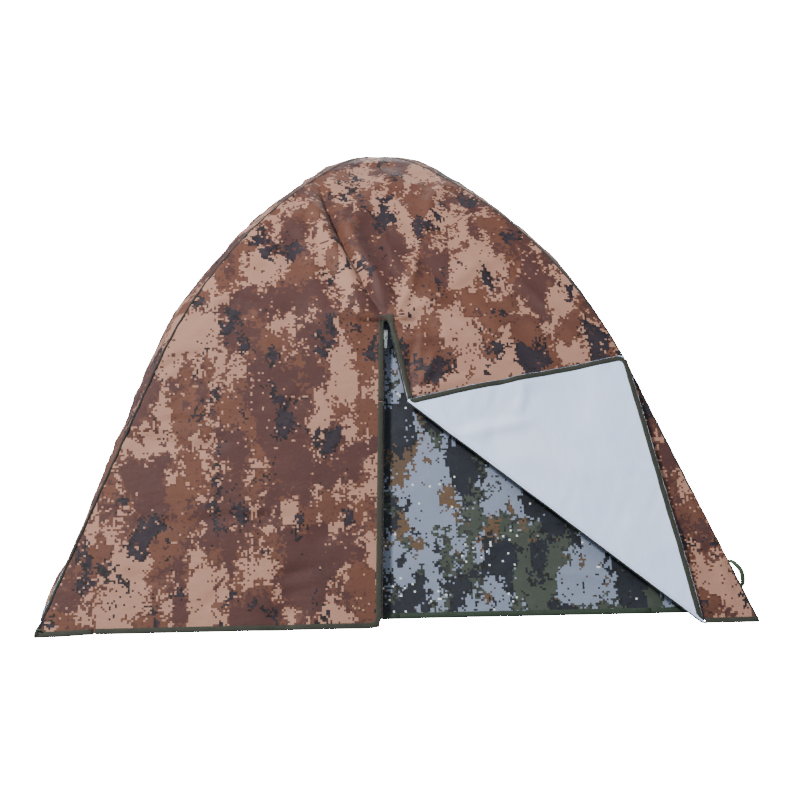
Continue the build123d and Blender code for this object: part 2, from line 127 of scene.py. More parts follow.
def crease(across, run, line, width, depth):
    """One crease along a line of flat points, fading out at both ends."""
    best, share, done = 1e9, 0.0, 0.0
    length = sum(hypot(b[0] - a[0], b[1] - a[1]) for a, b in zip(line, line[1:]))
    for a, b in zip(line, line[1:]):
        dx, dy = b[0] - a[0], b[1] - a[1]
        piece = hypot(dx, dy)
        t = max(0.0, min(1.0, ((across - a[0]) * dx + (run - a[1]) * dy) / piece ** 2))
        far = hypot(across - a[0] - t * dx, run - a[1] - t * dy)
        if far < best:
            best, share = far, (done + t * piece) / length
        done += piece
    if best > 4 * width:
        return 0.0
    return depth * exp(-(best / width) ** 2) * min(1.0, 4 * share + 0.15, 4 * (1 - share) + 0.15)


FRONT_CREASES = (
    # (line, width, depth)
    (((-0.20, 1.48), (-0.172, 1.324), (-0.132, 1.172), (-0.091, 1.075), (-0.059, 0.986), (-0.020, 0.914)),
     0.010, -0.014),
    (((-0.24, 1.44), (-0.21, 1.31), (-0.17, 1.18), (-0.12, 1.06), (-0.09, 0.97)), 0.028, 0.014),
    (((-0.14, 1.33), (-0.09, 1.19), (-0.05, 1.08), (-0.02, 0.99)), 0.022, 0.010),
    (((0.010, 0.930), (0.060, 1.030), (0.085, 1.170)), 0.014, 0.007),
    (((0.000, 0.905), (0.080, 0.960), (0.170, 0.990)), 0.013, 0.006),
    (((0.012, 0.860), (0.090, 0.860), (0.190, 0.845)), 0.012, 0.005),
    (((0.028, 0.672), (0.010, 0.711), (-0.006, 0.764)), 0.007, -0.006),
    (((0.037, 0.672), (0.046, 0.711), (0.040, 0.765), (0.055, 0.83)), 0.008, -0.006),
    (((0.050, 0.690), (0.095, 0.745), (0.120, 0.81)), 0.012, 0.007),
    (((0.052, 0.680), (0.140, 0.715), (0.250, 0.735)), 0.011, 0.005),
    (((-0.045, 0.90), (-0.11, 0.93), (-0.20, 0.935)), 0.016, 0.006),
    (((-0.05, 0.82), (-0.14, 0.80), (-0.26, 0.74)), 0.018, 0.005),
    (((-0.30, 1.36), (-0.25, 1.22), (-0.22, 1.05)), 0.03, 0.006),
    (((-0.78, 0.58), (-0.60, 0.53), (-0.42, 0.54)), 0.02, 0.007),
    (((-0.72, 0.62), (-0.56, 0.60), (-0.40, 0.63)), 0.012, -0.004),
    (((-0.86, 0.34), (-0.66, 0.30), (-0.44, 0.33), (-0.25, 0.31)), 0.024, 0.007),
    (((-0.90, 0.20), (-0.70, 0.15), (-0.50, 0.17)), 0.018, 0.006),
    (((-0.70, 0.74), (-0.62, 0.80), (-0.50, 0.82)), 0.014, 0.006),
    (((-0.56, 0.98), (-0.47, 0.99), (-0.38, 0.96)), 0.013, 0.006),
    (((-0.44, 1.19), (-0.37, 1.17), (-0.31, 1.11)), 0.012, 0.006),
    (((0.36, 1.15), (0.25, 1.10), (0.16, 1.02)), 0.020, 0.006),
    (((0.60, 0.90), (0.44, 0.93), (0.30, 0.92)), 0.018, 0.005),
    (((0.20, 1.50), (0.14, 1.38), (0.12, 1.25)), 0.020, 0.006),
    (((0.93, 0.05), (0.90, 0.22), (0.82, 0.40)), 0.014, 0.005),
)


def edge_fade(across, run):
    """1 in the middle of a wall, 0 along its seams, where the poles hold it."""
    room = section(run)[0] - abs(across)
    return 1 - exp(-max(0.0, room) / 0.05)


def puckers(across, run, seed):
    """Short gathers square to the seams."""
    room = max(0.0, section(run)[0] - abs(across))
    wave = sin(2 * pi * run / 0.052 + 3 * noise.noise(Vector((run * 9, seed, 0.0))))
    uneven = 0.4 + abs(noise.noise(Vector((run * 5, seed, 4.0))))
    return 0.0022 * wave * exp(-room / 0.035) * min(1.0, room / 0.012) * uneven


def held_under(rise, limit, soft=0.002):
    """A rise that stays below a limit, so that the left flap can lie back on the wall."""
    return limit - soft * log(1 + exp((limit - rise) / soft))


def wall_rise(wall, across, run):
    """How far the cover's face stands out of the plain wall."""
    calm = edge_fade(across, run) * min(1.0, max(0.0, (APEX_RUN - run) / 0.15))
    seed = {"front": 0.0, "right": 11.0, "rear": 23.0, "left": 37.0}[wall]
    rise = calm * (swell(across, run, seed, 0.62, 0.010)
                   + ridges(across, run, seed + 3, 0.9 if across < 0 else -0.9, 0.50, 0.080, 0.0095)
                   + ridges(across, run, seed + 5, 0.1, 0.36, 0.055, 0.0075)
                   + swell(across, run, seed + 8, 0.085, 0.0046))
    rise += puckers(across, run, seed)
    drift = 2.5 * noise.noise(Vector((across * 2, seed, 9)))
    rise += calm * exp(-run / 0.11) * 0.0045 * sin(2 * pi * across / 0.23 + drift)
    if wall == "front":
        if -0.10 < across < 0.07 and run < SLIT_TOP:
            rise *= 0.45
        drawn = 1.5 * sum(crease(across, run, *one) for one in FRONT_CREASES)
        loose = min(1.0, max(0.0, (run - 0.84) / 0.12, (across + 0.035) / 0.03))
        rise = loose * (rise + drawn) + (1 - loose) * held_under(rise - abs(drawn), 0.0008)
        if across < -0.02 and run < SLIT_TOP:
            return rise * min(1.0, max(0.0, (-0.016 - across + slit_edge(-1, run)) / 0.05))
        lift = above((across, run), FOLD_A, RIGHT_UP)
        if across > 0 and run < SLIT_TOP + 0.1:  # calm where the right flap lies
            inside = min(across - 2 * lift * RIGHT_UP.x - FOLD_RIGHT, run - 2 * lift * RIGHT_UP.y - FLAP_LIFT)
            rise *= (1 - exp(-max(0.0, lift - 0.004) / 0.05)) * (1 - 0.75 * min(1.0, max(0.0, inside / 0.06)))
        return rise
    width = max(section(run)[0], 0.05)
    share = min(1.0, abs(across) / width)
    belly = (1 - share ** 4) * max(0.0, sin(pi * max(0.0, min(1.0, run / APEX_RUN)) ** 0.8)) ** 0.7
    drawn = 1 + 0.5 * noise.noise(Vector((run * 3.3, seed, 2.0)))
    return rise + 0.026 * belly * drawn


SHELL_CREASES = (
    (((0.09, 0.225), (0.136, 0.203), (0.20, 0.211), (0.304, 0.255), (0.431, 0.306), (0.56, 0.33)),
     0.006, 0.0045),
    (((0.16, 0.30), (0.24, 0.27), (0.33, 0.285)), 0.012, -0.003),
    (((0.02, 0.60), (0.07, 0.565), (0.16, 0.52)), 0.008, 0.004),
    (((0.05, 0.46), (0.13, 0.42), (0.20, 0.36)), 0.010, 0.0035),
    (((0.30, 0.12), (0.46, 0.16), (0.62, 0.13)), 0.009, 0.004),
)


def shell_rise(wall, across, run):
    """How far the thin shell stands out of its plain wall."""
    seed = {"front": 61.0, "right": 71.0, "rear": 83.0, "left": 97.0}[wall]
    calm = edge_fade(across, run)
    rise = calm * (swell(across, run, seed, 0.4, 0.006)
                   + ridges(across, run, seed, 0.55, 0.32, 0.045, 0.0032)
                   + ridges(across, run, seed + 5, -0.7, 0.26, 0.05, 0.0022))
    if wall == "front":
        for one in SHELL_CREASES:
            rise += crease(across, run, *one)
    return min(rise, 0.009)


def cover_place(wall, across, run, out):
    return on_wall(wall, across, run, out + wall_rise(wall, across, run))


def shell_place(wall, across, run, out):
    return on_wall(wall, across, run, out - SHELL_INSET + shell_rise(wall, across, run))


# ---- the folds of the door ----
FOLD_A, FOLD_C = Vector((FOLD_RIGHT, FOLD_TOP)), Vector((FOLD_FOOT, 0.0))
FOLD_AL, FOLD_CL = Vector((FOLD_LEFT, FOLD_TOP)), Vector((-FOLD_FOOT, 0.0))


def uphill(low, high):
    """The unit direction square to a line, pointing up the slope."""
    step = (high - low).normalized()
    square = Vector((-step.y, step.x))
    return square if square.y > 0 else -square


RIGHT_UP, LEFT_UP = uphill(FOLD_A, FOLD_C), uphill(FOLD_CL, FOLD_AL)


def above(point, start, up):
    """How far a flat point lies above a fold."""
    return (point[0] - start.x) * up.x + (point[1] - start.y) * up.y


FLAP_CREASES = (
    (((0.171, 0.549), (0.239, 0.566), (0.318, 0.581), (0.40, 0.60)), 0.014, 0.0065),
    (((0.16, 0.575), (0.23, 0.60), (0.30, 0.62)), 0.02, -0.003),
    (((0.37, 0.720), (0.367, 0.662), (0.34, 0.61)), 0.012, 0.005),
    (((0.203, 0.670), (0.201, 0.627)), 0.008, 0.004),
    (((0.27, 0.69), (0.26, 0.64)), 0.009, 0.004),
    (((0.10, 0.65), (0.13, 0.62), (0.15, 0.58)), 0.012, 0.004),
    (((0.60, 0.76), (0.61, 0.60), (0.66, 0.42)), 0.05, 0.006),
    (((0.70, 0.62), (0.66, 0.64), (0.62, 0.63)), 0.010, 0.004),
    (((0.74, 0.44), (0.70, 0.45)), 0.009, 0.004),
    (((0.30, 0.50), (0.45, 0.47), (0.60, 0.40)), 0.04, 0.005),
)


def folded(across, run, out):
    """A place on the closed right flap, turned over its fold and laid on the cover."""
    over = max(0.0, above((across, run), FOLD_A, RIGHT_UP) + 0.0006)  # a tape's end stops at the fold
    across, run = across - over * RIGHT_UP.x, run - over * RIGHT_UP.y
    lift = above((across, run), FOLD_A, RIGHT_UP)
    x, s = across - 2 * lift * RIGHT_UP.x, run - 2 * lift * RIGHT_UP.y
    away = -lift
    puff = 0.0030 * (1 - exp(-away / 0.03)) + swell(x, s, 5.0, 0.30, 0.0075) + swell(x, s, 6.0, 0.09, 0.0022)
    drawn = sum(crease(x, s, line, width, 1.5 * depth) for line, width, depth in FLAP_CREASES)
    puff += ridges(x, s, 41.0, 1.2, 0.25, 0.05, 0.0040) + drawn
    puff += 0.005 * exp(-max(0.0, run - FLAP_LIFT) / 0.10) * min(1.0, away / 0.15)
    under = max(0.0, wall_rise("front", x, s))
    puff = held_under(puff, 0.0125) * (1 - exp(-away / 0.02))
    return on_wall("front", x, s, 2 * FOLD_PROUD - out + under + max(0.0, puff))


# ---- meshes ----
def keep(mesh, name, finishes, body, slot, smooth=True):
    """Turns a finished bmesh into a piece that rides on a body."""
    data = bpy.data.meshes.new(name)
    for vert in mesh.verts:
        vert.co.z = max(vert.co.z, 0.0)
    mesh.to_mesh(data)
    mesh.free()
    piece = bpy.data.objects.new(name, data)
    bpy.context.collection.objects.link(piece)
    for finish in finishes:
        data.materials.append(finish)
    for face in data.polygons:
        face.use_smooth = smooth
    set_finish(piece, slot)
    if body:
        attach(piece, body)
    return piece


def slab(low, high, cell, half, cuts, wanted, depth):
    """A flat sheet with a thickness: rows between two runs, as wide as half says, cut and partly kept."""
    mesh = bmesh.new()
    rows = ceil((high - low) / cell)
    columns = ceil(2 * half(low) / cell)
    bmesh.ops.create_grid(mesh, x_segments=columns, y_segments=rows, size=1.0)
    for vert in mesh.verts:
        run = low + (vert.co.y + 1) / 2 * (high - low)
        vert.co = (vert.co.x * half(run), run, 0.0)
    for point, square in cuts:
        bmesh.ops.bisect_plane(mesh, geom=mesh.verts[:] + mesh.edges[:] + mesh.faces[:], dist=1e-5,
                               plane_co=(point[0], point[1], 0), plane_no=(square[0], square[1], 0))
    loose = [face for face in mesh.faces if not wanted(face.calc_center_median())]
    bmesh.ops.delete(mesh, geom=loose, context="FACES")
    flat = mesh.loops.layers.uv.new("cloth")
    front = mesh.faces[:]
    made = bmesh.ops.extrude_face_region(mesh, geom=front, use_keep_orig=True)["geom"]
    for vert in made:
        if isinstance(vert, bmesh.types.BMVert):
            vert.co.z = -depth
    for face in mesh.faces:
        heights = [vert.co.z for vert in face.verts]
        face.material_index = 0 if min(heights) > -depth / 2 else 1
        rim = max(heights) - min(heights) > depth / 2
        for loop in face.loops:
            loop[flat].uv = loop.vert.co.xy
            if rim:
                loop.edge.smooth = False
    return mesh


def lay(mesh, place, wall):
    """Lays a flat mesh on a wall and turns its faces outward."""
    for vert in mesh.verts:
        vert.co = place(wall, vert.co.x, vert.co.y, vert.co.z)
    bmesh.ops.remove_doubles(mesh, verts=mesh.verts, dist=1e-6)
    bmesh.ops.recalc_face_normals(mesh, faces=mesh.faces)
    return mesh


def shift_print(mesh, wall):
    """Moves the printed pattern on, so that no two walls are alike."""
    flat = mesh.loops.layers.uv["cloth"]
    for face in mesh.faces:
        for loop in face.loops:
            loop[flat].uv.x += {"left": 3.0, "rear": 6.0, "right": 9.0}[wall]


def one_cloth(mesh):
    """Gives both faces of a sheet the same cloth."""
    for face in mesh.faces:
        face.material_index = 0


def everywhere(centre):
    return True


def skin(rings, closed=True, capped=True):
    """A tube, or an open strip, through rings of points."""
    mesh = bmesh.new()
    count = len(rings[0]) if closed else len(rings[0]) - 1
    bmesh.ops.create_grid(mesh, x_segments=count, y_segments=len(rings) - 1, size=1.0)
    around, along = [0.0], [0.0]
    first = rings[0] + rings[0][:1]
    for a, b in zip(first, first[1:]):
        around.append(around[-1] + (b - a).length)
    for a, b in zip(rings, rings[1:]):
        along.append(along[-1] + (b[0] - a[0]).length)
    flat = mesh.loops.layers.uv.new("cloth")
    spots = {}
    for vert in mesh.verts:
        spots[vert] = (round((vert.co.x + 1) / 2 * count), round((vert.co.y + 1) / 2 * (len(rings) - 1)))
    for face in mesh.faces:
        for loop in face.loops:
            i, j = spots[loop.vert]
            loop[flat].uv = (around[i], along[j])
    for vert, (i, j) in spots.items():
        vert.co = rings[j][i % len(rings[j])]
    bmesh.ops.remove_doubles(mesh, verts=mesh.verts, dist=1e-7)
    if capped and closed:
        bmesh.ops.holes_fill(mesh, edges=[edge for edge in mesh.edges if edge.is_boundary])
    bmesh.ops.recalc_face_normals(mesh, faces=mesh.faces)
    return mesh


def join(meshes):
    """Several bmeshes as one."""
    whole = bmesh.new()
    whole.loops.layers.uv.new("cloth")
    for mesh in meshes:
        part = bpy.data.meshes.new("part")
        mesh.to_mesh(part)
        mesh.free()
        whole.from_mesh(part)
        bpy.data.meshes.remove(part)
    return whole


def trace(points, rounding=0.0, step=0.012):
    """Evenly spaced flat points along a line, with its inner corners rounded."""
    corners = [Vector(point) for point in points]
    line = [corners[0]]
    for before, corner, after in zip(corners, corners[1:], corners[2:]):
        if not rounding:
            line.append(corner)
            continue
        into, out = (before - corner).normalized(), (after - corner).normalized()
        half = into.angle(out) / 2
        back = rounding / tan(half)
        middle = corner + (into + out).normalized() * rounding / sin(half)
        start, end = corner + into * back, corner + out * back
        turn = (start - middle).angle_signed(end - middle)
        for share in range(9):
            spoke = (start - middle).copy()
            spoke.rotate(Matrix.Rotation(-turn * share / 8, 2))
            line.append(middle + spoke)
    line.append(corners[-1])
    found = []
    for a, b in zip(line, line[1:]):
        pieces = max(1, ceil((b - a).length / step))
        found += [a.lerp(b, count / pieces) for count in range(pieces)]
    return found + [line[-1]]


# A binding's tape, as (inward from the edge, outward from the face), round the cloth.
TAPE = ((0.0150, 0.0002), (0.0149, 0.0008), (0.0110, 0.0013), (0.0050, 0.0013), (0.0010, 0.0009),
        (-0.0001, -0.0008), (-0.0002, -0.0030), (-0.0001, -0.0052), (0.0010, -0.0069),
        (0.0050, -0.0073), (0.0110, -0.0073), (0.0149, -0.0068), (0.0150, -0.0062))


def bind(line, side, place, profile=TAPE):
    """A binding along an edge, its cloth on the side given (1: left of the way it runs)."""
    rings = []
    for count, point in enumerate(line):
        ahead = line[min(count + 1, len(line) - 1)] - line[max(count - 1, 0)]
        inward = Vector((-ahead.y, ahead.x)).normalized() * side
        pucker = 1 + 0.05 * sin(count * 2.1) * sin(count * 0.7)
        rings.append([place(point.x + inward.x * near, point.y + inward.y * near, out * pucker)
                      for near, out in profile])
    return skin(rings)


# ---- finishes ----
class Signal:
    """A socket that sums can be written on."""

    def __init__(self, finish, socket):
        self.finish, self.socket = finish, socket

    def maths(self, operation, *values):
        return self.finish.node("ShaderNodeMath", {"operation": operation}, dict(enumerate(values)))

    def __add__(self, other):
        return self.maths("ADD", self, other)

    def __sub__(self, other):
        return self.maths("SUBTRACT", self, other)

    def __rsub__(self, other):
        return self.maths("SUBTRACT", other, self)

    def __mul__(self, other):
        return self.maths("MULTIPLY", self, other)

    def __gt__(self, other):
        return self.maths("GREATER_THAN", self, other)

    def __lt__(self, other):
        return self.maths("LESS_THAN", self, other)

    def __pow__(self, other):
        return self.maths("POWER", self, other)

    def wave(self):
        return self.maths("SINE", self)

    __radd__, __rmul__ = __add__, __mul__


class Finish:
    """A material and the nodes that make it."""

    def __init__(self, name):
        self.material = bpy.data.materials.new(name)
        self.material.use_nodes = True
        self.nodes, self.links = self.material.node_tree.nodes, self.material.node_tree.links
        self.shader = next(node for node in self.nodes if node.type == "BSDF_PRINCIPLED")

    def node(self, kind, settings=None, sockets=None, output=0):
        made = self.nodes.new(kind)
        for name, value in (settings or {}).items():
            if name == "stops":
                ramp = made.color_ramp
                for (spot, colour), stop in zip(value, (ramp.elements[0], ramp.elements[1])):
                    stop.position, stop.color = spot, (*colour, 1)
                for spot, colour in value[2:]:
                    ramp.elements.new(spot).color = (*colour, 1)
            else:
                setattr(made, name, value)
        self.fill(made, sockets or {})
        return Signal(self, made.outputs[output])

    def fill(self, made, sockets):
        for name, value in sockets.items():
            socket = made.inputs[name]
            if isinstance(value, Signal):
                self.links.new(value.socket, socket)
            elif socket.type == "RGBA" and len(value) == 3:
                socket.default_value = (*value, 1)
            else:
                socket.default_value = value

    def mix(self, share, first, second):
        """A colour that goes from the first to the second."""
        return self.node("ShaderNodeMix", {"data_type": "RGBA"}, {0: share, 6: first, 7: second}, 2)

    def spot(self):
        return self.node("ShaderNodeTexCoord", output="Object")

    def flat(self):
        return self.node("ShaderNodeUVMap", {"uv_map": "cloth"})

    def moved(self, place, shift=(0, 0, 0), turn=0.0, scale=(1, 1, 1)):
        sockets = {"Vector": place, "Location": shift, "Rotation": (0, 0, turn), "Scale": scale}
        return self.node("ShaderNodeMapping", {}, sockets)

    def clouds(self, place, scale, detail=2.0, rough=0.5):
        sockets = {"Vector": place, "Scale": scale, "Detail": detail, "Roughness": rough}
        return self.node("ShaderNodeTexNoise", {}, sockets)

    def grains(self, place):
        return self.node("ShaderNodeTexWhiteNoise", {"noise_dimensions": "3D"}, {"Vector": place})

    def bump(self, height, distance, strength=1.0, under=None):
        sockets = {"Height": height, "Distance": distance, "Strength": strength}
        if under:
            sockets["Normal"] = under
        return self.node("ShaderNodeBump", {}, sockets)

    def done(self, **sockets):
        self.fill(self.shader, {name.replace("_", " "): value for name, value in sockets.items()})
        return self.material


def shade(red, green, blue):
    """A colour from its display values, 0 to 255."""
    def linear(value):
        value /= 255
        return value / 12.92 if value <= 0.04045 else ((value + 0.055) / 1.055) ** 2.4
    return linear(red), linear(green), linear(blue)


def weave(finish, flat, pitch, height):
    """The bump of a plain weave."""
    across = finish.node("ShaderNodeSeparateXYZ", {}, {0: flat}, 0)
    along = finish.node("ShaderNodeSeparateXYZ", {}, {0: flat}, 1)
    threads = (across * (2 * pi / pitch)).wave() * (along * (2 * pi / pitch)).wave()
    return finish.bump(threads, height, 0.35)


def camouflage(name, ground, patches, flecks, crinkle, sheen, rough):
    """Printed cloth: patches of square cells that break up into loose cells at their edges."""
    finish = Finish(name)
    flat = finish.flat()
    cell = finish.node("ShaderNodeVectorMath", {"operation": "SNAP"}, {0: flat, 1: (CELL, CELL, CELL)})
    grain = [finish.grains(finish.moved(cell, (0, 0, 3.7 * count))) for count in range(2)]
    clumps = [finish.clouds(finish.moved(cell, (5.3 * count, 2.1, 1.0 + count)), 60.0, 2.0, 0.7)
              for count in range(3)]
    tone = finish.clouds(flat, 1.9, 2.0)
    colour = finish.mix(tone, tuple(0.90 * part for part in ground), tuple(1.10 * part for part in ground))
    for count, (shift, turn, stretch, scale, limit, ragged, inner, outer, rim) in enumerate(patches):
        field = finish.clouds(finish.moved(cell, shift, turn, (1, stretch, 1)), scale, 4.5, 0.58)
        edge = field + clumps[count] * ragged + grain[0] * 0.03 - (0.5 * ragged + 0.015)
        far = field + clumps[(count + 1) % 3] * ragged + grain[1] * 0.05 - (0.5 * ragged + 0.025)
        colour = finish.mix((far > limit - 0.006) * (edge < limit), colour, rim)
        patchy = (finish.clouds(finish.moved(flat, shift), 7.0, 2.0) - 0.5) * 2.4 + 0.5
        tint = finish.mix(patchy, inner, outer)
        colour = finish.mix(edge > limit, colour, tint)
    for limit, zone_limit, fleck, shift in flecks:
        zone = finish.clouds(finish.moved(cell, shift), 6.5, 1.0) > zone_limit
        loose = finish.grains(finish.moved(cell, shift)) * 0.12
        worms = finish.clouds(finish.moved(cell, shift), 85.0, 0.0) + loose
        colour = finish.mix((worms > limit) * zone, colour, fleck)
    fold = finish.clouds(finish.moved(flat, (1, 2, 0), 0.5, (1, 2.2, 1)), 14.0, 4.0, 0.6)
    bump = finish.bump(fold, crinkle, 0.7, weave(finish, flat, 0.0011, 0.00012))
    return finish.done(Base_Color=colour, Normal=bump,
                       Roughness=finish.clouds(flat, 30.0, 2.0) * 0.16 + rough,
                       Sheen_Weight=sheen, Sheen_Roughness=0.45, Specular_IOR_Level=0.25)


# Each patch: shift, turn, stretch, scale, limit, raggedness, its two shades, and its rim's shade.
desert = camouflage(
    "desert_camouflage", shade(149, 111, 94),
    (((3.1, 1.7, 0.0), 0.25, 0.62, 8.4, 0.524, 0.32,
      shade(92, 57, 43), shade(84, 52, 41), shade(76, 46, 38)),
     ((7.4, 5.2, 1.0), -0.2, 0.60, 7.4, 0.536, 0.32,
      shade(70, 42, 39), shade(62, 37, 36), shade(84, 52, 42)),
     ((1.9, 9.6, 2.0), 0.3, 0.58, 10.0, 0.612, 0.34,
      shade(38, 30, 38), shade(31, 26, 36), shade(22, 17, 20))),
    ((0.82, 0.52, shade(150, 111, 95), (4.0, 2.0, 1.0)), (0.785, 0.50, shade(70, 42, 34), (2.0, 8.0, 5.0))),
    0.0040, 0.05, 0.58)
woodland = camouflage(
    "woodland_camouflage", shade(112, 122, 142),
    (((2.2, 6.1, 3.0), 0.2, 0.62, 10.5, 0.568, 0.34,
      shade(88, 68, 48), shade(78, 62, 48), shade(72, 62, 54)),
     ((5.5, 0.4, 4.0), -0.2, 0.60, 8.6, 0.538, 0.34,
      shade(50, 58, 52), shade(58, 66, 58), shade(40, 44, 42)),
     ((8.8, 3.3, 5.0), 0.2, 0.58, 10.5, 0.580, 0.34,
      shade(28, 32, 42), shade(24, 28, 36), shade(20, 22, 24))),
    ((0.83, 0.54, shade(206, 212, 210), (3.0, 4.0, 2.0)), (0.78, 0.50, shade(28, 30, 32), (6.0, 7.0, 3.0))),
    0.0022, 0.05, 0.50)


def satin(name, light, blue):
    """Smooth white lining with soft blue shades."""
    finish = Finish(name)
    flat, spot = finish.flat(), finish.spot()
    colour = finish.mix(finish.clouds(spot, 2.6, 3.0), light, blue)
    fold = finish.clouds(finish.moved(flat, (0, 0, 0), 1.1, (1, 2.6, 1)), 11.0, 3.0, 0.55)
    bump = finish.bump(fold, 0.0040, 0.8, weave(finish, flat, 0.0009, 0.00008))
    return finish.done(Base_Color=colour, Roughness=finish.clouds(flat, 24.0) * 0.15 + 0.42, Normal=bump,
                       Sheen_Weight=0.15, Specular_IOR_Level=0.3)


def tape(name, dark, light, rib=0.0016, stitch=None):
    """Ribbed woven tape, with a row of stitches beside its edge."""
    finish = Finish(name)
    flat = finish.flat()
    around = finish.node("ShaderNodeSeparateXYZ", {}, {0: flat}, 0)
    along = finish.node("ShaderNodeSeparateXYZ", {}, {0: flat}, 1)
    ribs = (along * (2 * pi / rib)).wave()
    colour = finish.mix(finish.clouds(flat, 40.0, 3.0), dark, light)
    height = ribs
    if stitch:
        row = (around > stitch[0]) * (around < stitch[0] + 0.0009)
        dash = (along * (2 * pi / 0.0042)).wave() > -0.35
        colour = finish.mix(row * dash * 0.75, colour, stitch[1])
        height = ribs * 0.5 + row * dash
    return finish.done(Base_Color=colour, Roughness=finish.clouds(flat, 60.0) * 0.2 + 0.6,
                       Normal=finish.bump(height, 0.0002, 0.6), Sheen_Weight=0.1, Specular_IOR_Level=0.3)


white_lining = satin("white_lining", shade(216, 230, 255), shade(196, 216, 255))
olive_binding = tape("olive_binding", shade(32, 35, 29), shade(44, 47, 38),
                     stitch=(0.0125, shade(70, 72, 60)))
piping_tape = tape("piping_tape", shade(26, 28, 28), shade(38, 40, 38), 0.002)
hem_tape = tape("shell_hem_tape", shade(26, 40, 30), shade(36, 52, 38))
webbing = tape("green_webbing", shade(44, 64, 38), shade(58, 78, 48), 0.0024, (0.0032, shade(34, 50, 30)))


def solid(name, colour, second, rough, metal=0.0, scale=60.0, height=0.0002, stretch=(1, 1, 1), coat=0.0):
    """A hard finish with grain, small dents and uneven gloss."""
    finish = Finish(name)
    spot = finish.moved(finish.spot(), scale=stretch)
    grain = finish.clouds(spot, scale, 4.0, 0.6)
    scuffs = finish.clouds(spot, scale * 0.2, 2.0)
    return finish.done(Base_Color=finish.mix(scuffs, colour, second), Metallic=metal, Coat_Weight=coat,
                       Roughness=grain * 0.25 + rough, Normal=finish.bump(grain, height, 0.4))


def cloth_solid(name, colour, second):
    """A woven finish that reads its own place, for cloth pieces kept from the frame."""
    finish = Finish(name)
    spot = finish.spot()
    threads = finish.clouds(finish.moved(spot, scale=(1, 1, 6)), 420.0, 2.0)
    shades = finish.mix(finish.clouds(spot, 30.0, 3.0), colour, second)
    return finish.done(Base_Color=shades, Roughness=threads * 0.2 + 0.6, Sheen_Weight=0.1,
                       Normal=finish.bump(threads, 0.0004, 0.5))


sleeve_cloth = cloth_solid("sleeve_cloth", shade(60, 78, 56), shade(46, 62, 46))
tab_cloth = cloth_solid("tab_cloth", shade(52, 84, 84), shade(40, 62, 58))
fibreglass = solid("fibreglass", shade(48, 52, 46), shade(62, 66, 58), 0.32, scale=900.0,
                   stretch=(1, 1, 0.05), coat=0.3)
NODE_FINISHES = {
    "ferrules": solid("ferrule_steel", shade(190, 190, 188), shade(160, 160, 158), 0.22, 1.0, 300.0),
    "pole_tips": solid("tip_plastic", shade(34, 34, 34), shade(50, 50, 50), 0.4, scale=400.0),
    "shock_cords": cloth_solid("elastic_cord", shade(222, 220, 210), shade(196, 194, 184)),
    "foot_eyelets": solid("eyelet_brass", shade(196, 160, 88), shade(150, 120, 66), 0.25, 1.0, 250.0),
    "zip_slider": solid("slider_metal", shade(196, 206, 204), shade(150, 158, 156), 0.2, 1.0, 400.0),
    "zip_pull": solid("pull_metal", shade(190, 200, 198), shade(146, 154, 152), 0.24, 1.0, 400.0),
    "zip_top_stop": solid("stop_metal", shade(150, 150, 146), shade(110, 110, 108), 0.3, 1.0, 400.0),
    "apex_tie": cloth_solid("tie_webbing", shade(60, 84, 52), shade(46, 66, 42)),
    "anchor_tabs": cloth_solid("anchor_webbing", shade(58, 82, 50), shade(44, 64, 40)),
}
zip_coil = solid("zip_coil", shade(26, 26, 28), shade(44, 44, 46), 0.38, scale=700.0)


# ---- the cover ----
def seam_half(run):
    return max(0.0, section(run)[0] - SEAM_GAP)


SPLIT_LOW, SPLIT_HIGH = 0.035 / cos(LEAN), SPLIT_TOP / cos(LEAN)


def clear_of_split(centre):
    """False inside the slots beside a side wall's corners, where the webbing comes out."""
    side = section(centre.y)[0] - abs(centre.x)
    return not SPLIT_LOW < centre.y < SPLIT_HIGH or side > SPLIT_WIDTH


SPLIT_CUTS = [(Vector((0.0, run)), Vector((0.0, 1.0))) for run in (SPLIT_LOW, SPLIT_HIGH)]
for turn in (-1, 1):
    low, high = (Vector((turn * (section(run)[0] - SPLIT_WIDTH), run)) for run in (SPLIT_LOW, SPLIT_HIGH))
    SPLIT_CUTS.append((low, uphill(low, high)))

HEM_TOP = 0.010  # the face runs this far down inside the hem's binding
for wall in ("left", "rear", "right"):
    cuts, wanted = ([], everywhere) if wall == "rear" else (SPLIT_CUTS, clear_of_split)
    mesh = lay(slab(HEM_TOP, APEX_RUN, 0.017, seam_half, cuts, wanted, COVER), cover_place, wall)
    shift_print(mesh, wall)
    piece = keep(mesh, f"cover_{wall}", (desert, white_lining), "hide", "desert_camouflage")
    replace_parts(piece, f"cover_{wall}_wall", f"lining_{wall}_wall")

DART = [Vector(point) for point in ((-0.02, SLIT_TOP), (-0.059, 0.986), (-0.091, 1.075), (-0.132, 1.172),
                                    (-0.172, 1.324), (-0.205, 1.49), (-0.20, 1.74))]


def dart_across(run):
    """Where the seam from the slit's top to the apex lies."""
    if run <= SLIT_TOP:
        return None
    for low, high in zip(DART, DART[1:]):
        if run <= high.y:
            return low.x + (high.x - low.x) * (run - low.y) / (high.y - low.y)
    return DART[-1].x


def on_left(centre):
    """True left of the slit and of the seam above it."""
    seam = dart_across(centre.y)
    if seam is None:
        return centre.x < -0.02
    return centre.x < max(seam, -0.92 * seam_half(centre.y))


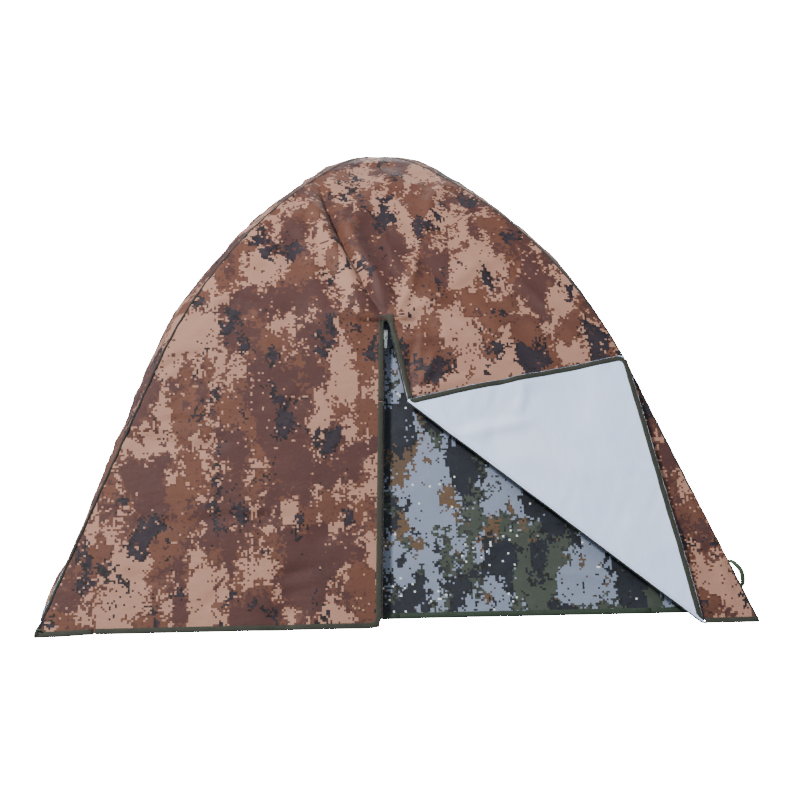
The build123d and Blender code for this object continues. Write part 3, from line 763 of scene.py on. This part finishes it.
def slit_edge(side, run):
    top, low = ((SLIT_LEFT, FOLD_LEFT) if side < 0 else (SLIT_RIGHT, FOLD_RIGHT))
    if run >= FOLD_TOP:
        return low + (top - low) * (run - FOLD_TOP) / (SLIT_TOP - FOLD_TOP)
    return low + ((LEFT_CORNER - low) * (FOLD_TOP - run) / (FOLD_TOP - FLAP_LIFT) if side < 0 else 0.0)


def left_front(centre):
    if not on_left(centre):
        return False
    if centre.y < SLIT_TOP and centre.x > slit_edge(-1, centre.y):
        return False
    corner = Vector((LEFT_CORNER - FLAP_ROUND, FLAP_LIFT + FLAP_ROUND))
    spot = Vector((centre.x, centre.y))
    if spot.x > corner.x and spot.y < corner.y:
        return (spot - corner).length < FLAP_ROUND
    return True


def right_front(centre):
    if on_left(centre):
        return False
    if centre.y < SLIT_TOP and centre.x < slit_edge(1, centre.y):
        return False
    return above(centre, FOLD_A, RIGHT_UP) > 0 or centre.x < FOLD_RIGHT and centre.y > FOLD_TOP


def square_to(a, b):
    return uphill(Vector(a), Vector(b))


DART_CUTS = [(a, square_to(a, b)) for a, b in zip(DART, DART[1:])]
LEFT_CUTS = [(Vector((SLIT_LEFT, SLIT_TOP)), square_to((SLIT_LEFT, SLIT_TOP), (FOLD_LEFT, FOLD_TOP))),
             (Vector((FOLD_LEFT, FOLD_TOP)), square_to((FOLD_LEFT, FOLD_TOP), (LEFT_CORNER, FLAP_LIFT))),
             (Vector((0, SLIT_TOP)), Vector((0, 1)))]
RIGHT_CUTS = [(Vector((SLIT_RIGHT, SLIT_TOP)), square_to((SLIT_RIGHT, SLIT_TOP), (FOLD_RIGHT, FOLD_TOP))),
              (FOLD_A, RIGHT_UP), (Vector((0, SLIT_TOP)), Vector((0, 1)))]
FRONT_CELL = 0.0125


def fold_band(start, up):
    """Cuts that put rows of points beside a fold, where the cloth rolls."""
    return [(start + up * offset, up) for offset in (-0.006, -0.002, 0.002, 0.006)]


mesh = lay(slab(HEM_TOP, APEX_RUN, FRONT_CELL, seam_half, DART_CUTS + LEFT_CUTS + fold_band(FOLD_AL, LEFT_UP),
                left_front, COVER), cover_place, "front")
cover_left = keep(mesh, "cover_front_left_cloth", (desert, white_lining), None, "desert_camouflage")
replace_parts(cover_left, "cover_front_left", "left_flap_face", "left_flap_lining")
middle = (FOLD_AL + FOLD_CL) / 2
fold_half = 0.006
on_wall("front", *(middle + LEFT_UP * fold_half))
on_wall("front", *(middle - LEFT_UP * fold_half))
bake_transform(cover_left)

mesh = lay(slab(HEM_TOP, APEX_RUN, FRONT_CELL, seam_half, DART_CUTS + RIGHT_CUTS, right_front, COVER),
           cover_place, "front")
cover_right = keep(mesh, "cover_front_right_cloth", (desert, white_lining), "hide", "desert_camouflage")
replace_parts(cover_right, "cover_front_right", "lining_front")

# ---- the right flap, folded back, and the roll of cloth along its fold ----
def flap_wanted(centre):
    if centre.x < FOLD_RIGHT or centre.y < FLAP_LIFT or above(centre, FOLD_A, RIGHT_UP) > -0.0006:
        return False
    corner = Vector((FOLD_RIGHT + FLAP_ROUND, FLAP_LIFT + FLAP_ROUND))
    if centre.x < corner.x and centre.y < corner.y:
        return (Vector((centre.x, centre.y)) - corner).length < FLAP_ROUND
    return True


flap_mesh = slab(0.0, FOLD_TOP + 0.01, FRONT_CELL, lambda run: 0.86,
                 [(FOLD_A - RIGHT_UP * 0.0006, RIGHT_UP), (Vector((FOLD_RIGHT, 0)), Vector((1, 0))),
                  (Vector((0, FLAP_LIFT)), Vector((0, 1)))] + fold_band(FOLD_A - RIGHT_UP * 0.01, RIGHT_UP),
                 flap_wanted, COVER)
mesh = lay(flap_mesh, lambda wall, x, s, out: folded(x, s, out), "front")
flap = keep(mesh, "right_flap_cloth", (desert, white_lining), "right_flap", "white_lining")
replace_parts(flap, "right_flap_face", "right_flap_lining")

rings = []
fold_length = (FOLD_C - FOLD_A).length
steps = ceil(fold_length / 0.012)
roll_out, roll_in = 0.0076, 0.0014
for count in range(steps + 1):
    centre = FOLD_A.lerp(FOLD_C, count / steps)
    kink = 0.0022 * exp(-((count / steps - 0.14) / 0.03) ** 2)
    slack = 0.0016 * noise.noise(Vector((count * 0.13, 3.0, 0.0))) + kink
    ring = []
    for radius, order in ((roll_out, 1), (roll_in, -1)):
        arc = [pi * step / 8 for step in range(9)][::order]
        for angle in arc:
            down = -radius * sin(angle) - (slack * sin(angle) if order > 0 else 0.0)
            spot = centre + RIGHT_UP * (down - 0.0002)
            ring.append(on_wall("front", spot.x, spot.y, FOLD_PROUD - radius * cos(angle)))
    rings.append(ring)
roll_mesh = skin(rings)
roll_mesh.faces.ensure_lookup_table()
around = len(rings[0])
# The middle of the roll's outer arc, round the fold's very edge, takes the dark olive binding cloth. This is
# a painted shadow line along the fold, not a tape on the cloth.
for count, face in enumerate(roll_mesh.faces):
    painted_shadow_line = count % around in (2, 3, 4, 5) and count < (len(rings) - 1) * around
    face.material_index = 1 if painted_shadow_line else 0
roll = keep(roll_mesh, "right_flap_roll", (white_lining, olive_binding), None, "white_lining")
middle = (FOLD_A + FOLD_C) / 2
on_wall("front", *middle, FOLD_PROUD - roll_out)
on_wall("front", *middle, FOLD_PROUD + roll_out)
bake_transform(roll)

# ---- bindings ----
front_place = partial(cover_place, "front")


def binding(line, side, place, name, body, node):
    """An olive binding along a line, which stands for a binding of the frame."""
    piece = keep(bind(line, side, place), name, (olive_binding,), body, "olive_binding")
    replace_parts(piece, node)


FOLD_TIP = FOLD_FOOT - FLAP_LIFT * 1.2
left_flap_edge = trace(((FOLD_LEFT, FOLD_TOP - 0.004), (LEFT_CORNER, FLAP_LIFT),
                        (-FOLD_TIP, FLAP_LIFT)), FLAP_ROUND)
right_flap_edge = trace(((FOLD_RIGHT, FOLD_TOP - 0.004), (FOLD_RIGHT, FLAP_LIFT),
                         (FOLD_TIP, FLAP_LIFT)), FLAP_ROUND)
top_left = trace(((SLIT_LEFT + 0.006, SLIT_TOP + 0.001), (SLIT_LEFT, SLIT_TOP - 0.004),
                  (FOLD_LEFT, FOLD_TOP - 0.002)))
top_right = trace(((SLIT_RIGHT - 0.006, SLIT_TOP + 0.001), (SLIT_RIGHT, SLIT_TOP - 0.004),
                   (FOLD_RIGHT - 0.004, FOLD_TOP + 0.022), (FOLD_RIGHT + 0.002, FOLD_TOP + 0.002)))
binding(left_flap_edge, -1, front_place, "left_flap_tape", "left_flap", "left_flap_binding")
binding(right_flap_edge, 1, folded, "right_flap_tape", "right_flap", "right_flap_binding")
binding(top_left, -1, front_place, "slit_tape_left", "hide", "slit_binding_left")
binding(top_right, 1, front_place, "slit_tape_right", "hide", "slit_binding_right")
BAR_PROFILE = ((-0.001, 0.0009), (0.008, 0.0017), (0.0145, 0.0012), (0.0145, -0.0068), (0.008, -0.0074),
               (-0.001, -0.0068))
bar = [[front_place(x, SLIT_TOP + s, out) for s, out in BAR_PROFILE]
       for x in [SLIT_LEFT - 0.0145 + 0.0029 * count for count in range(16)]]
piece = keep(skin(bar), "slit_top_bar", (olive_binding,), "hide", "olive_binding")

hems = []
for wall in HEADINGS:
    corner = HALF_BASE - SEAM_GAP
    spans = [(-corner, corner)] if wall != "front" else [(-corner, -FOLD_FOOT + 0.004), (FOLD_FOOT, corner)]
    for start, end in spans:
        lift = FLAP_LIFT if wall == "front" and end < 0 else 0.0012
        line = trace(((start, 0.0012), (start + 0.07, 0.4 * lift), (end, lift)), 0.04, step=0.02)
        hems.append(bind(line, 1, partial(cover_place, wall)))
    for turn in ((-1, 1) if wall in ("left", "right") else ()):
        low, high = ((turn * (section(run)[0] - SPLIT_WIDTH), run)
                     for run in (SPLIT_LOW - 0.001, SPLIT_HIGH + 0.001))
        narrow = [(near * 0.4, out) for near, out in TAPE]
        hems.append(bind(trace((low, high), step=0.02), turn, partial(cover_place, wall), narrow))
piece = keep(join(hems), "hem_tape_cover", (olive_binding,), "hide", "olive_binding")
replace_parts(piece, "cover_hem")

# ---- piping up the corners ----
PIPING_RADIUS = 0.0032
pipes = []
for heading in (45, 135, 225, 315):
    turn = radians(heading)
    rings = []
    for count in range(121):
        run = 0.004 + (APEX_RUN - 0.004) * count / 120
        far, up, slope = section(run)
        square = atan2(tan(slope), 2 ** 0.5)
        middle = Vector((cos(turn), sin(turn), 0)) * (2 ** 0.5 * far - 0.0012) + Vector((0, 0, up - 0.0012))
        outward = Vector((cos(turn) * sin(square), sin(turn) * sin(square), cos(square)))
        side = Vector((-sin(turn), cos(turn), 0))
        wobble = 0.0008 * sin(count * 1.3) * (count < 112)
        rings.append([middle + side * (PIPING_RADIUS * cos(a) + wobble) + outward * PIPING_RADIUS * sin(a)
                      for a in (2 * pi * k / 10 for k in range(10))])
    pipes.append(skin(rings))
piece = keep(join(pipes), "corner_piping_cord", (piping_tape,), "hide", "desert_camouflage")
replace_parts(piece, "corner_piping")

# ---- the inner shell ----
def shell_half(run):
    far, up, slope = section(run)
    seam = 0.001 if run < BEND_RUN else 0.0
    return max(0.0, far - SHELL_INSET * sin(slope) - seam)


SHELL_FOOT = (SHELL_LIFT + SHELL_INSET * sin(LEAN)) / cos(LEAN)
DOOR_POINT = FOLD_A - RIGHT_UP * DOOR_INSET
for wall in ("left", "rear", "right"):
    mesh = slab(SHELL_FOOT, APEX_RUN, 0.02, shell_half, [], everywhere, SHELL_THICKNESS)
    mesh = lay(mesh, shell_place, wall)
    shift_print(mesh, wall)
    one_cloth(mesh)
    piece = keep(mesh, f"shell_{wall}", (woodland,), "hide", "woodland_camouflage")
    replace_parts(piece, f"shell_{wall}_wall")

edge_cut = [(Vector((DOOR_EDGE, 0)), Vector((1, 0)))]
mesh = lay(slab(SHELL_FOOT, APEX_RUN, FRONT_CELL, shell_half, edge_cut,
                lambda centre: centre.x < DOOR_EDGE, SHELL_THICKNESS), shell_place, "front")
one_cloth(mesh)
piece = keep(mesh, "shell_front_left_cloth", (woodland,), "hide", "woodland_camouflage")
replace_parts(piece, "shell_front_left")
mesh = lay(slab(SHELL_FOOT, APEX_RUN, FRONT_CELL, shell_half, edge_cut + fold_band(DOOR_POINT, RIGHT_UP),
                lambda centre: centre.x > DOOR_EDGE, SHELL_THICKNESS), shell_place, "front")
one_cloth(mesh)
shell_right = keep(mesh, "shell_front_right_cloth", (woodland,), None, "woodland_camouflage")
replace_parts(shell_right, "shell_front_right", "shell_door")
on_wall("front", *(DOOR_POINT + RIGHT_UP * fold_half), -SHELL_INSET)
on_wall("front", *(DOOR_POINT - RIGHT_UP * fold_half), -SHELL_INSET)
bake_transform(shell_right)

HEM_PROFILE = ((0.016, 0.0006), (0.0155, 0.0012), (0.008, 0.0015), (0.0005, 0.0012), (-0.0006, -0.0008),
               (0.0005, -0.0026), (0.008, -0.0030), (0.0155, -0.0027), (0.016, -0.0020))
door_foot = DOOR_POINT.x + (DOOR_POINT.y - SHELL_FOOT) * RIGHT_UP.y / RIGHT_UP.x
shell_hems = []
for wall in HEADINGS:
    corner = shell_half(SHELL_FOOT)
    spans = [(-corner, corner)]
    if wall == "front":
        spans = [(-corner, DOOR_EDGE - 0.0006), (door_foot + 0.001, corner)]
    for start, end in spans:
        line = trace(((start, SHELL_FOOT + 0.0005), (end, SHELL_FOOT + 0.0005)), step=0.02)
        shell_hems.append(bind(line, 1, partial(shell_place, wall), HEM_PROFILE))
piece = keep(join(shell_hems), "shell_hem_band", (hem_tape,), "hide", "shell_hem_tape")
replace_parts(piece, "shell_hem")
line = trace(((DOOR_EDGE + 0.0006, SHELL_FOOT + 0.0005), (door_foot - 0.001, SHELL_FOOT + 0.0005)), step=0.02)
band = bind(line, 1, partial(shell_place, "front"), HEM_PROFILE)
piece = keep(band, "shell_door_band", (hem_tape,), "inner_door", "shell_hem_tape")
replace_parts(piece, "shell_door_hem")

# ---- the zip's coils ----
ZIP_FOOT, ZIP_TOP, SLIDER_REST, CHAIN_EDGE = FLAP_LIFT + 2 * BINDING_WIDTH, 0.879, 0.866, 0.0023
BENT = SLIDER_REST - FLAT_RUN
CHAIN_SINK = BEND_RADIUS - (BEND_RADIUS ** 2 - BENT ** 2) ** 0.5


def chain_depth(run):
    return -COVER / 2 - CHAIN_SINK * run / SLIDER_REST


def flat_front(x, s, out):
    """A place on the front wall's lower plane, carried on above its bend."""
    return Vector((x, -HALF_BASE + s * sin(LEAN) - out * cos(LEAN), s * cos(LEAN) + out * sin(LEAN)))


def over(x, s, out):
    """The same, turned over the right fold."""
    lift = above((x, s), FOLD_A, RIGHT_UP)
    return flat_front(x - 2 * lift * RIGHT_UP.x, s - 2 * lift * RIGHT_UP.y, 2 * FOLD_PROUD - out)


def coil(edge, side, start, end, place):
    """A woven tape's edge with coil turns along it."""
    rings = []
    run = start
    while run <= end:
        x = edge(run) - side * CHAIN_EDGE
        out = chain_depth(run)
        rings.append([place(x + dx, run, out + dz) for dx, dz in
                      ((-0.0018, -0.0006), (0.0018, -0.0006), (0.0018, 0.0006), (-0.0018, 0.0006))])
        run += 0.02
    teeth = bmesh.new()
    teeth.loops.layers.uv.new("cloth")
    run = start
    while run < end:
        x, out = edge(run) - side * CHAIN_EDGE, chain_depth(run)
        middle = place(x, run, out)
        ahead, aside, up = place(x, run + 0.001, out), place(x + 0.001, run, out), place(x, run, out + 0.001)
        axes = [((point - middle) * 1000).normalized() for point in (aside, ahead, up)]
        turn = Matrix((axes[0], axes[1], axes[2])).transposed().to_4x4()
        tooth = Matrix.Translation(middle) @ turn @ Matrix.Diagonal((0.0039, 0.0014, 0.0029, 1))
        bmesh.ops.create_cube(teeth, size=1.0, matrix=tooth)
        run += 0.0026
    return join([skin(rings), teeth])


left_slit, right_slit = partial(slit_edge, -1), partial(slit_edge, 1)
UPPER_FOOT, LOWER_TOP = FOLD_TOP + 0.0075, FOLD_TOP - BINDING_WIDTH
upper = join([coil(left_slit, -1, UPPER_FOOT, ZIP_TOP, flat_front),
              coil(right_slit, 1, UPPER_FOOT, ZIP_TOP, flat_front)])
piece = keep(upper, "zip_coil_upper", (zip_coil,), "hide", "zip_coil", smooth=False)
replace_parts(piece, "zip_chain_upper")
lower_left = coil(left_slit, -1, ZIP_FOOT, LOWER_TOP, flat_front)
piece = keep(lower_left, "zip_coil_left", (zip_coil,), "left_flap", "zip_coil", smooth=False)
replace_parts(piece, "left_flap_zip_chain")
lower_right = coil(right_slit, 1, ZIP_FOOT, LOWER_TOP, over)
piece = keep(lower_right, "zip_coil_right", (zip_coil,), "right_flap", "zip_coil", smooth=False)
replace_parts(piece, "right_flap_zip_chain")

# ---- webbing loops, tabs and sleeves, from their frame solids ----
def softened(node, name, finish, slot, depth, size, body="hide"):
    """A cloth copy of a frame solid, with its edges eased and its faces slightly uneven."""
    mesh = bmesh.new()
    mesh.from_mesh(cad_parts[node].data)
    bmesh.ops.remove_doubles(mesh, verts=mesh.verts, dist=1e-6)
    long = [edge for edge in mesh.edges if edge.calc_length() > size]
    for _ in range(3):
        if not long:
            break
        bmesh.ops.subdivide_edges(mesh, edges=long, cuts=1)
        bmesh.ops.triangulate(mesh, faces=[face for face in mesh.faces if len(face.verts) > 4])
        long = [edge for edge in mesh.edges if edge.calc_length() > size]
    mesh.normal_update()
    for vert in mesh.verts:
        vert.co += vert.normal * depth * noise.noise(vert.co * 38)
    for layer in list(mesh.loops.layers.uv.keys()):
        mesh.loops.layers.uv.remove(mesh.loops.layers.uv[layer])
    piece = keep(mesh, name, (finish,), body, slot)
    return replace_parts(piece, node)


CORNERS = ("front_left", "front_right", "rear_left", "rear_right")
for corner in CORNERS:
    softened(f"sleeve_{corner}", f"sleeve_cloth_{corner}", sleeve_cloth, "green_webbing", 0.0008, 0.03)
softened("seam_tabs", "seam_tab_cloth", tab_cloth, "green_webbing", 0.0006, 0.006)
softened("anchor_tabs", "anchor_tab_webbing", NODE_FINISHES["anchor_tabs"], "green_webbing", 0.0005, 0.008)
softened("apex_tie", "apex_tie_webbing", NODE_FINISHES["apex_tie"], "green_webbing", 0.0003, 0.006)


LOOP_HEIGHT = 0.112
WEBBING_PROFILE = ((-0.0125, 0.0), (-0.012, 0.0011), (0.0, 0.0013), (0.012, 0.0011),
                   (0.0125, 0.0), (0.012, -0.0011), (0.0, -0.0013), (-0.012, -0.0011))


def webbing_loop(corner):
    """A loop of webbing that stands out beside a corner's foot. The front left one lies flat."""
    solid_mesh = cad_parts[f"corner_loop_{corner}"].data
    middle = sum((vert.co for vert in solid_mesh.vertices), Vector()) / len(solid_mesh.vertices)
    turn = atan2(middle.y, middle.x)
    outward, side = Vector((cos(turn), sin(turn), 0)), Vector((-sin(turn), cos(turn), 0))
    to_side = 0.0155 if (side.y > 0) == (middle.y < 0) else -0.0155  # clear of the front and rear walls
    tilt = atan2(2 ** 0.5 * tan(LEAN), 1)
    reach = outward * cos(tilt) + Vector((0, 0, sin(tilt)))
    rise = Vector((0, 0, cos(tilt))) - outward * sin(tilt)
    inset = {"front_left": 0.015, "rear_right": 0.015}.get(corner, 0.0245)
    out = HALF_BASE - LOOP_HEIGHT * tan(LEAN) - inset / cos(LEAN)
    origin = outward * 2 ** 0.5 * out + Vector((0, 0, LOOP_HEIGHT))
    rings = []
    half, bulge, near = (0.050, 0.007, -0.004) if corner == "front_left" else (0.044, 0.037, 0.0085)
    for count in range(41):
        angle = -pi / 2 + pi * count / 40
        centre = origin + reach * (near + bulge * cos(angle) ** 0.8) + rise * half * sin(angle)
        radial = (reach * cos(angle) + rise * sin(angle)).normalized()
        twist = 0.0015 * sin(count * 0.4)
        ring = []
        for x, t in WEBBING_PROFILE:
            ring.append(centre + side * (x + twist + to_side) + radial * (t - 0.0013))
        rings.append(ring)
    piece = keep(skin(rings), f"webbing_loop_{corner}", (webbing,), "hide", "green_webbing")
    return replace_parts(piece, f"corner_loop_{corner}")


for corner in CORNERS:
    webbing_loop(corner)

# ---- hard pieces kept from the frame ----
for name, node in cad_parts.items():
    if node.hide_render:
        continue
    finish = next((made for key, made in NODE_FINISHES.items() if key in name), fibreglass)
    node.data.materials.clear()
    node.data.materials.append(finish)

# ---- floor, lights and camera ----
def stage_finish():
    finish = Finish("pale_floor")
    tone = finish.clouds(finish.spot(), 0.6, 2.0)
    return finish.done(Base_Color=finish.mix(tone, (0.90, 0.90, 0.905), (0.93, 0.93, 0.93)), Roughness=0.9,
                       Emission_Color=(1.0, 1.0, 1.0), Emission_Strength=40.0)


mesh = bmesh.new()
bmesh.ops.create_grid(mesh, x_segments=8, y_segments=60, size=1.0)
for vert in mesh.verts:
    run = (vert.co.y + 1) / 2 * 26 - 9
    bend = max(0.0, run - 7)
    angle = min(pi / 2, bend / 4)
    rest = max(0.0, bend - 2 * pi)
    vert.co = (vert.co.x * 18, min(run, 7) + 4 * sin(angle), 4 * (1 - cos(angle)) + rest)
floor = keep(mesh, "floor", (stage_finish(),), None, "floor")
del floor["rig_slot"]
floor.location.z = -0.0005
floor.visible_diffuse = floor.visible_glossy = False

world = bpy.context.scene.world or bpy.data.worlds.new("sky")
bpy.context.scene.world = world
world.use_nodes = True
sky = next(node for node in world.node_tree.nodes if node.type == "BACKGROUND")
sky.inputs["Color"].default_value = (0.93, 0.96, 1.0, 1)
sky.inputs["Strength"].default_value = 0.50


def lamp(name, place, aim, size, power, colour):
    light = bpy.data.lights.new(name, "AREA")
    light.shape, light.size, light.energy, light.color = "DISK", size, power, colour
    holder = bpy.data.objects.new(name, light)
    bpy.context.collection.objects.link(holder)
    holder.location = place
    holder.rotation_euler = (Vector(aim) - Vector(place)).to_track_quat("-Z", "Y").to_euler()


lamp("key", (-3.4, -3.6, 4.6), (0, -0.3, 0.5), 1.1, 680, (1.0, 0.97, 0.94))
lamp("fill", (4.4, -4.6, 2.2), (0, 0, 0.5), 3.0, 70, (0.93, 0.96, 1.0))
lamp("back", (0.5, 4.5, 4.6), (0, 0.5, 0.6), 3.0, 160, (1, 1, 1))

camera = bpy.data.objects.new("camera", bpy.data.cameras.new("camera"))
bpy.context.collection.objects.link(camera)
camera.data.lens = 66.94
camera.location = (-0.3733, -4.9860, 1.0120)
camera.rotation_euler = (radians(90 - 5.393), 0, radians(-5.165))
bpy.context.scene.camera = camera
